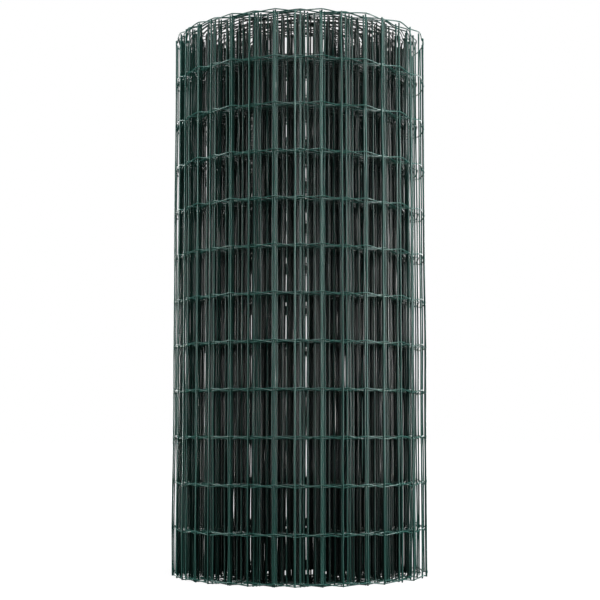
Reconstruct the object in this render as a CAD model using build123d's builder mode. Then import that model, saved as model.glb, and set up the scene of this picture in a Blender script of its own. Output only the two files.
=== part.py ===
import os

from build123d import *

# Roll of welded wire fencing, standing on end.
# Millimetres, +Z up, origin on the roll's axis at the level that it stands on.

# Wires, measured over their plastic coat
LINE_WIRE = 2.5
STAY_WIRE = 3.4

# Mesh: line wires run round the roll, and stays run up it and end a little past the outer line wires
CELL_HEIGHT = 100.0
CELLS = 12
STAY_END = 4.0

# Winding, drawn as even turns. The real roll has about 30, which lie closer together.
TURNS = 24
TURN_GAP = 3.7
BORE_DIAMETER = 120.0
GROOVE_DEPTH = 7.0

# A turn is as thick as a line wire lying on a stay
mesh_thickness = LINE_WIRE + STAY_WIRE
turn_pitch = mesh_thickness + TURN_GAP
bore_radius = BORE_DIAMETER / 2
wall = (TURNS - 1) * turn_pitch + mesh_thickness
height = CELLS * CELL_HEIGHT + 2 * STAY_END

# The middle of the wall's section
wall_centre = (bore_radius + wall / 2, height / 2)

# The wound mesh: one tube, with a vee on both ends from each turn's middle to the next one's
with BuildPart() as mesh_roll:
    with BuildSketch(Plane.XZ):
        with Locations(wall_centre):
            Rectangle(wall, height)
            with GridLocations(turn_pitch, height, TURNS - 1, 2):
                Polygon(
                    (-turn_pitch / 2, 0),
                    (0, -GROOVE_DEPTH),
                    (turn_pitch / 2, 0),
                    (0, GROOVE_DEPTH),
                    mode=Mode.SUBTRACT,
                )
    revolve(axis=Axis.Z)

mesh_roll.part.label = "mesh_roll"

os.makedirs("parts", exist_ok=True)
export_step(mesh_roll.part, "parts/mesh_roll.step")
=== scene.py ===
import math

import bpy
import numpy as np
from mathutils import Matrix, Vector, noise


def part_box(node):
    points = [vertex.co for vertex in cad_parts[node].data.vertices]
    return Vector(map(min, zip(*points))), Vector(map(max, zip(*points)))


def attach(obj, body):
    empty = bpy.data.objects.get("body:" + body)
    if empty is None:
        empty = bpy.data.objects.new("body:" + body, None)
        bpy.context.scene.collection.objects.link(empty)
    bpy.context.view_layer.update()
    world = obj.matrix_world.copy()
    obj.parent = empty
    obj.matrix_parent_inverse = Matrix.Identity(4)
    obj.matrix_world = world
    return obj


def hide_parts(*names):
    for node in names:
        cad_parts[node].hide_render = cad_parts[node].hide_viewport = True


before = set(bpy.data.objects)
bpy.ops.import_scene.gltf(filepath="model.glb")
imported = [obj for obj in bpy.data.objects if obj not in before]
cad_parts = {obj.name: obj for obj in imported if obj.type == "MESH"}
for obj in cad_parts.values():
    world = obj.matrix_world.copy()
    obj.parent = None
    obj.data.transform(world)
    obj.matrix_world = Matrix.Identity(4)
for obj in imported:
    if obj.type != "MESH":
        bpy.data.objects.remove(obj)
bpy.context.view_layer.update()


# The winding.
# About 35 m of welded mesh is wound in a spiral round an open bore. Its loose free end is at the back on
# the right, and from there it runs over the front to the left. Its outer turns hang loose on the right.

mm = 0.001

LINE_WIRE = 2.5 * mm
STAY_WIRE = 3.4 * mm
TURNS = 31
STEPS_A_TURN = 360

# Headings are counted from the front, towards the right. The free end springs out, and the outermost turn
# keeps the roll's full width for most of its way round.
FREE_END = math.radians(130)
FREE_END_SPRING = 6 * mm
SPRUNG_TURNS = 0.09
FULL_WIDTH_TURNS = 0.86

# From the middle of one turn to the next: the outermost turns on each side, then the turns under them,
# and the inner turns share what is left down to the innermost. No gap is quite like its neighbours.
FRONT_GAPS = [6.9 * mm, 6.1 * mm]
RIGHT_GAPS = [15.3 * mm, 9.9 * mm]
BACK_GAPS = [6.8 * mm, 6.1 * mm]
LEFT_GAPS = [6.2 * mm, 6.4 * mm]
TURN_GAP = 7.35 * mm
OUTER_GAPS = 10
INNERMOST = 82 * mm
UNEVEN = 0.21
SEED = 171

roll_low, roll_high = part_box("mesh_roll")
mesh_thickness = LINE_WIRE + STAY_WIRE
outer_middle = roll_high.x - mesh_thickness / 2

turn = np.linspace(0, TURNS, TURNS * STEPS_A_TURN + 1)
heading = FREE_END - math.tau * turn
chance = np.random.default_rng(SEED)


def reach(side, gaps):
    """How far the mesh reaches out towards one side, at each step of the spiral."""
    at_side = (FREE_END - side) % math.tau / math.tau
    outer = gaps + [TURN_GAP] * (OUTER_GAPS - len(gaps))
    inner_count = TURNS - 1 - OUTER_GAPS
    inner = [(outer_middle - INNERMOST - sum(outer)) / inner_count] * inner_count
    uneven = chance.uniform(1 - UNEVEN, 1 + UNEVEN, TURNS - 1) * (outer + inner)
    reached = outer_middle - np.cumsum([0, *uneven])
    return np.interp(turn, [FULL_WIDTH_TURNS, *(at_side + np.arange(1, TURNS))], reached)


front = reach(0, FRONT_GAPS)
right = reach(math.pi / 2, RIGHT_GAPS)
back = reach(math.pi, BACK_GAPS)
left = reach(-math.pi / 2, LEFT_GAPS)
sprung = FREE_END_SPRING * np.clip(1 - turn / SPRUNG_TURNS, 0, 1) ** 2
spiral = np.stack([
    ((right + left) / 2 + sprung) * np.sin(heading) + (right - left) / 2,
    -((front + back) / 2 + sprung) * np.cos(heading) + (back - front) / 2,
])
along = np.gradient(spiral, axis=1)
along /= np.linalg.norm(along, axis=0)
outward = np.stack([-along[1], along[0]])
if outward[:, 0] @ spiral[:, 0] < 0:
    outward = -outward
run = np.concatenate([[0], np.cumsum(np.linalg.norm(np.diff(spiral), axis=0))])
mesh_length = run[-1]

# The mesh sways out and aside from the even spiral, in waves of these lengths along it and up it. It sways
# further in than out, so that it stays within the roll. Each sway takes its own slice of the noise.
SWAY_OUT = 2.0 * mm
SWAY_ASIDE = 1.0 * mm
SWAY_ALONG = 160 * mm
SWAY_UP = 230 * mm
SWAY_INWARD = 0.3
ASIDE_SLICE = Vector((0, 0, 7))


def in_roll(length, height, out, aside=0):
    """The place of a point of the mesh: so far along it, so far up, and so far outward from its middle."""
    spot = Vector((length / SWAY_ALONG, height / SWAY_UP, 0))
    out += SWAY_OUT * (noise.noise(spot) - SWAY_INWARD)
    length += aside + SWAY_ASIDE * noise.noise(spot + ASIDE_SLICE)
    x = np.interp(length, run, spiral[0]) + out * np.interp(length, run, outward[0])
    y = np.interp(length, run, spiral[1]) + out * np.interp(length, run, outward[1])
    return Vector((x, y, height))


# Coated wire.
# Steel wire with a skin of dark green PVC, extruded on and smooth. It is glossy, so each wire carries
# a pale streak along it. The outer turns are dusty in random patches, and the colour is painted dark over
# the inner turns as painted shade, the shade deep inside the roll.

PAINTED_SHADE_GREEN = "#061a15"
GREEN = "#20524a"
DUSTY_GREEN = "#3a6b62"
# Inside this radius the wire is painted near-black as painted shade, and it fades to the dusty greens out
# to the roll's edge
PAINTED_SHADE_WITHIN = 235 * mm
DUST_PATCH = 60 * mm
COAT_ROUGHNESS = 0.28
PVC_IOR = 1.53
PEEL = 1.5 * mm
PEEL_HEIGHT = 0.1 * mm
PEEL_STRENGTH = 0.15
CUT_STEEL = "#8d8f8c"
CUT_ROUGHNESS = 0.5


def linear(hex_colour):
    """The linear colour of an sRGB hex value."""
    parts = [int(hex_colour[i:i + 2], 16) / 255 for i in (1, 3, 5)]
    return [p / 12.92 if p <= 0.04045 else ((p + 0.055) / 1.055) ** 2.4 for p in parts] + [1]


def add(tree, kind, links=None, **settings):
    """A new node in the tree, with its inputs set or linked by name, and its own settings."""
    node = tree.nodes.new(kind)
    for key, value in settings.items():
        setattr(node, key, value)
    for socket, value in (links or {}).items():
        if isinstance(value, bpy.types.NodeSocket):
            tree.links.new(value, node.inputs[socket])
        else:
            node.inputs[socket].default_value = value
    return node


def material(name):
    """A new material with an empty node tree."""
    made = bpy.data.materials.new(name)
    made.use_nodes = True
    made.node_tree.nodes.clear()
    return made


coated = material("PVC-coated steel wire")
tree = coated.node_tree
where = add(tree, "ShaderNodeTexCoord").outputs["Object"]
dust = add(tree, "ShaderNodeTexNoise", {"Vector": where, "Scale": 1 / DUST_PATCH, "Detail": 3})
handled = add(
    tree, "ShaderNodeMix",
    {"Factor": dust.outputs["Fac"], "A": linear(GREEN), "B": linear(DUSTY_GREEN)},
    data_type="RGBA",
)
flat = add(tree, "ShaderNodeMapping", {"Vector": where, "Scale": (1, 1, 0)})
from_axis = add(tree, "ShaderNodeVectorMath", {0: flat.outputs["Vector"]}, operation="LENGTH")
# Painted shade: the colour darkens from the outer turns inward to near-black, for the shade inside the
# roll
painted_shade_fade = add(
    tree, "ShaderNodeMapRange",
    {"Value": from_axis.outputs["Value"], "From Min": PAINTED_SHADE_WITHIN, "From Max": roll_high.x},
)
colour = add(
    tree, "ShaderNodeMix",
    {"Factor": painted_shade_fade.outputs["Result"], "A": linear(PAINTED_SHADE_GREEN), "B": handled.outputs["Result"]},
    data_type="RGBA",
)
peel = add(tree, "ShaderNodeTexNoise", {"Vector": where, "Scale": 1 / PEEL, "Detail": 2})
relief = add(
    tree, "ShaderNodeBump",
    {"Height": peel.outputs["Fac"], "Strength": PEEL_STRENGTH, "Distance": PEEL_HEIGHT},
)
skin = add(
    tree, "ShaderNodeBsdfPrincipled",
    {
        "Base Color": colour.outputs["Result"],
        "Roughness": COAT_ROUGHNESS,
        "IOR": PVC_IOR,
        "Normal": relief.outputs["Normal"],
    },
)
add(tree, "ShaderNodeOutputMaterial", {"Surface": skin.outputs["BSDF"]})

cut = material("cut end of steel wire")
tree = cut.node_tree
steel = add(
    tree, "ShaderNodeBsdfPrincipled",
    {"Base Color": linear(CUT_STEEL), "Metallic": 1.0, "Roughness": CUT_ROUGHNESS},
)
add(tree, "ShaderNodeOutputMaterial", {"Surface": steel.outputs["BSDF"]})

# A wire is a little thicker where it is welded to another
WELD_SWELL = 1.12
SIDES = 6


def wires(name, paths, diameter):
    """One piece of round wires. A path lists points, each with the wire's relative thickness there."""
    curve = bpy.data.curves.new(name, "CURVE")
    curve.dimensions = "3D"
    curve.bevel_depth = diameter / 2
    curve.bevel_resolution = (SIDES - 4) // 2
    curve.use_fill_caps = True
    for path in paths:
        spline = curve.splines.new("POLY")
        spline.points.add(len(path) - 1)
        for point, (place, thickness) in zip(spline.points, path):
            point.co = (*place, 1)
            point.radius = thickness
    drawn = bpy.data.objects.new(name + "_drawn", curve)
    mesh = bpy.data.meshes.new_from_object(drawn)
    bpy.data.objects.remove(drawn)
    bpy.data.curves.remove(curve)
    mesh.name = name
    mesh.materials.clear()
    mesh.materials.append(coated)
    mesh.materials.append(cut)
    # The sides have four corners, and the cut ends have more
    for face in mesh.polygons:
        face.use_smooth = len(face.vertices) == 4
        face.material_index = 0 if face.use_smooth else 1
    piece = bpy.data.objects.new(name, mesh)
    bpy.context.scene.collection.objects.link(piece)
    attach(piece, "root")
    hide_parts("mesh_roll")
    return piece


# Line wires.
# Thirteen wires run the whole length of the mesh, 100 mm apart. Each is crimped up at every other stay,
# where it passes outside the stay, and down at the stays between, where it passes inside. The wires at
# the two edges are crimped a little less.

CELL_HEIGHT = 100 * mm
ROWS = 13
CRIMP_PERIOD = 100 * mm
PEAK_TO_DIP = 57.3 * mm
CRIMP = 3.2 * mm
EDGE_CRIMP = 2.6 * mm
CRIMP_STRAIGHT = 0.75
CRIMP_STEPS = 10
LINE_OUT = 1.6 * mm

# The heading of one peak on the front of the outermost turn, which the other peaks follow from
PEAK_AT = math.radians(9.5)

first_row = roll_low.z + (roll_high.z - roll_low.z - (ROWS - 1) * CELL_HEIGHT) / 2
first_peak = np.interp((FREE_END - PEAK_AT) / math.tau, turn, run) % CRIMP_PERIOD
periods = int((mesh_length - first_peak) // CRIMP_PERIOD)


def along_crimp(period, share):
    """How far along the mesh a share of a crimp is, from one peak, past the dip, to the next peak."""
    dip = PEAK_TO_DIP if share < 0.5 else CRIMP_PERIOD - PEAK_TO_DIP
    start = 0 if share < 0.5 else 2 * PEAK_TO_DIP - CRIMP_PERIOD
    return first_peak + period * CRIMP_PERIOD + start + 2 * share * dip


def line_wire(row):
    """The path of one line wire, from the first stay to the last."""
    height = first_row + row * CELL_HEIGHT
    crimp = CRIMP if 0 < row < ROWS - 1 else EDGE_CRIMP
    path = []
    for period in range(periods):
        for step in range(CRIMP_STEPS):
            share = step / CRIMP_STEPS
            swing = math.cos(math.tau * share)
            zigzag = abs(4 * share - 2) - 1
            lift = crimp * (CRIMP_STRAIGHT * zigzag + (1 - CRIMP_STRAIGHT) * swing)
            place = in_roll(along_crimp(period, share), height + lift, LINE_OUT * swing)
            path.append((place, WELD_SWELL if step in (0, CRIMP_STEPS // 2) else 1))
    return path


for row in range(ROWS):
    wires(f"line_wire_{row + 1:02d}", [line_wire(row)], LINE_WIRE)


# Stays.
# About 690 upright wires are welded to the line wires, in pairs 43 and 57 mm apart. Their cut ends stand
# just past the outer line wires, and the lower ones carry the roll. The stays of one turn are one piece.

STAY_OUT = 1.0 * mm
STAY_TOP = 1 * mm
BOW = 1.6 * mm
BOWED_AT = (0.3, 0.7)
BOW_SLICE = 3

top_end = first_row + (ROWS - 1) * CELL_HEIGHT + STAY_TOP


def stay(length, out):
    """The path of one stay, fixed at each line wire and a little bowed between them."""
    path = [(in_roll(length, roll_low.z, out), 1)]
    for row in range(ROWS):
        height = first_row + row * CELL_HEIGHT
        path.append((in_roll(length, height, out), WELD_SWELL))
        if row < ROWS - 1:
            for share in BOWED_AT:
                wave = noise.noise(Vector((length / mm, row + share, BOW_SLICE)))
                bow = BOW * math.sin(math.pi * share) * wave
                path.append((in_roll(length, height + share * CELL_HEIGHT, out, bow), 1))
    path.append((in_roll(length, top_end, out), 1))
    return path


stays_of_turn = {}
for period in range(periods):
    for share, out in ((0, -STAY_OUT), (0.5, STAY_OUT)):
        length = along_crimp(period, share)
        number = int(np.interp(length, run, turn))
        stays_of_turn.setdefault(number, []).append(stay(length, out))
for number, paths in stays_of_turn.items():
    wires(f"stays_{number + 1:02d}", paths, STAY_WIRE)


# The floor and the room.
# A plain white floor in a dim white room, and the camera sees both as white. The floor is lit only round
# the roll, where it keeps a soft shadow, and further out it glows as white as the room.

FLOOR = 60.0
FLOOR_WHITE = "#d8d8d8"
FLOOR_DARK = "#303030"
FLOOR_GLOW = 1.2
SHADOW_REACH = 1.6
SHADOW_SHARE = 0.35
ROOM_LIGHT = 0.01
ROOM_SEEN = 1.0
WHITE = (1, 1, 1, 1)

bpy.ops.mesh.primitive_plane_add(size=FLOOR, location=(0, 0, roll_low.z))
floor = bpy.context.object
floor.name = "floor"
painted = material("white painted floor")
tree = painted.node_tree
where = add(tree, "ShaderNodeTexCoord").outputs["Object"]
centred = add(tree, "ShaderNodeMapping", {"Vector": where, "Scale": (1 / SHADOW_REACH,) * 3})
near = add(
    tree, "ShaderNodeTexGradient",
    {"Vector": centred.outputs["Vector"]},
    gradient_type="SPHERICAL",
)
shaded = add(tree, "ShaderNodeMath", {0: near.outputs["Fac"], 1: SHADOW_SHARE}, operation="MULTIPLY")
glowing = add(tree, "ShaderNodeMath", {0: 1.0, 1: shaded.outputs[0]}, operation="SUBTRACT")
rays = add(tree, "ShaderNodeLightPath")
seen = add(
    tree, "ShaderNodeMath",
    {0: rays.outputs["Is Camera Ray"], 1: glowing.outputs[0]},
    operation="MULTIPLY",
)
tone = add(
    tree, "ShaderNodeMix",
    {"Factor": rays.outputs["Is Camera Ray"], "A": linear(FLOOR_DARK), "B": linear(FLOOR_WHITE)},
    data_type="RGBA",
)
paint = add(tree, "ShaderNodeBsdfDiffuse", {"Color": tone.outputs["Result"]})
glow = add(tree, "ShaderNodeEmission", {"Color": WHITE, "Strength": FLOOR_GLOW})
both = add(tree, "ShaderNodeMixShader", {0: seen.outputs[0], 1: paint.outputs[0], 2: glow.outputs[0]})
add(tree, "ShaderNodeOutputMaterial", {"Surface": both.outputs[0]})
floor.data.materials.append(painted)

world = bpy.data.worlds.new("white room")
bpy.context.scene.world = world
world.use_nodes = True
tree = world.node_tree
tree.nodes.clear()
rays = add(tree, "ShaderNodeLightPath")
level = add(
    tree, "ShaderNodeMix",
    {"Factor": rays.outputs["Is Camera Ray"], "A": ROOM_LIGHT, "B": ROOM_SEEN},
    data_type="FLOAT",
)
room = add(tree, "ShaderNodeBackground", {"Color": WHITE, "Strength": level.outputs["Result"]})
add(tree, "ShaderNodeOutputWorld", {"Surface": room.outputs["Background"]})


# The lamps.
# Tall softboxes on both sides graze the roll, the right one brighter, and a wide one hangs over it. Two
# low ones stand behind it, so that its back isn't dark.


def softbox(name, place, size, radiance):
    """A lamp with a white cloth front, of that width and height, aimed at the middle of the roll."""
    lamp = bpy.data.lights.new(name, "AREA")
    lamp.shape = "RECTANGLE"
    lamp.size, lamp.size_y = size
    lamp.energy = radiance * math.pi * size[0] * size[1]
    standing = bpy.data.objects.new(name, lamp)
    bpy.context.scene.collection.objects.link(standing)
    standing.location = place
    aim = (roll_low + roll_high) / 2 - Vector(place)
    standing.rotation_euler = aim.to_track_quat("-Z", "Y").to_euler()


TALL = (0.3, 2.5)
LOW = (0.3, 1.2)
WIDE = (1.6, 0.6)

softbox("softbox_left", (-2.8, -0.8, 1.35), TALL, 35)
softbox("softbox_right", (2.8, -0.8, 1.35), TALL, 54)
softbox("softbox_top", (0, -0.95, 3.7), WIDE, 25)
softbox("softbox_back_left", (-1.9, 2.2, 0.65), LOW, 26)
softbox("softbox_back_right", (1.9, 2.2, 0.65), LOW, 26)


# The camera.
# It stands in front of the roll, a little above the floor, and looks slightly up. Its focal length and the
# height of the horizon are in pixels of the picture.

PICTURE = 600
FOCAL = 1431.0
HORIZON = 430.0
DISTANCE = 3.236
EYE_HEIGHT = 0.320
SENSOR = 36
FURTHEST = 100

camera_data = bpy.data.cameras.new("camera")
camera = bpy.data.objects.new("camera", camera_data)
bpy.context.scene.collection.objects.link(camera)
camera_data.sensor_width = SENSOR
camera_data.lens = FOCAL * SENSOR / PICTURE
camera_data.clip_end = FURTHEST
camera.location = (0, -DISTANCE, EYE_HEIGHT)
tilt = math.atan((HORIZON - PICTURE / 2) / FOCAL)
camera.rotation_euler = (math.pi / 2 + tilt, 0, 0)
bpy.context.scene.camera = camera
bpy.context.scene.view_settings.view_transform = "Standard"
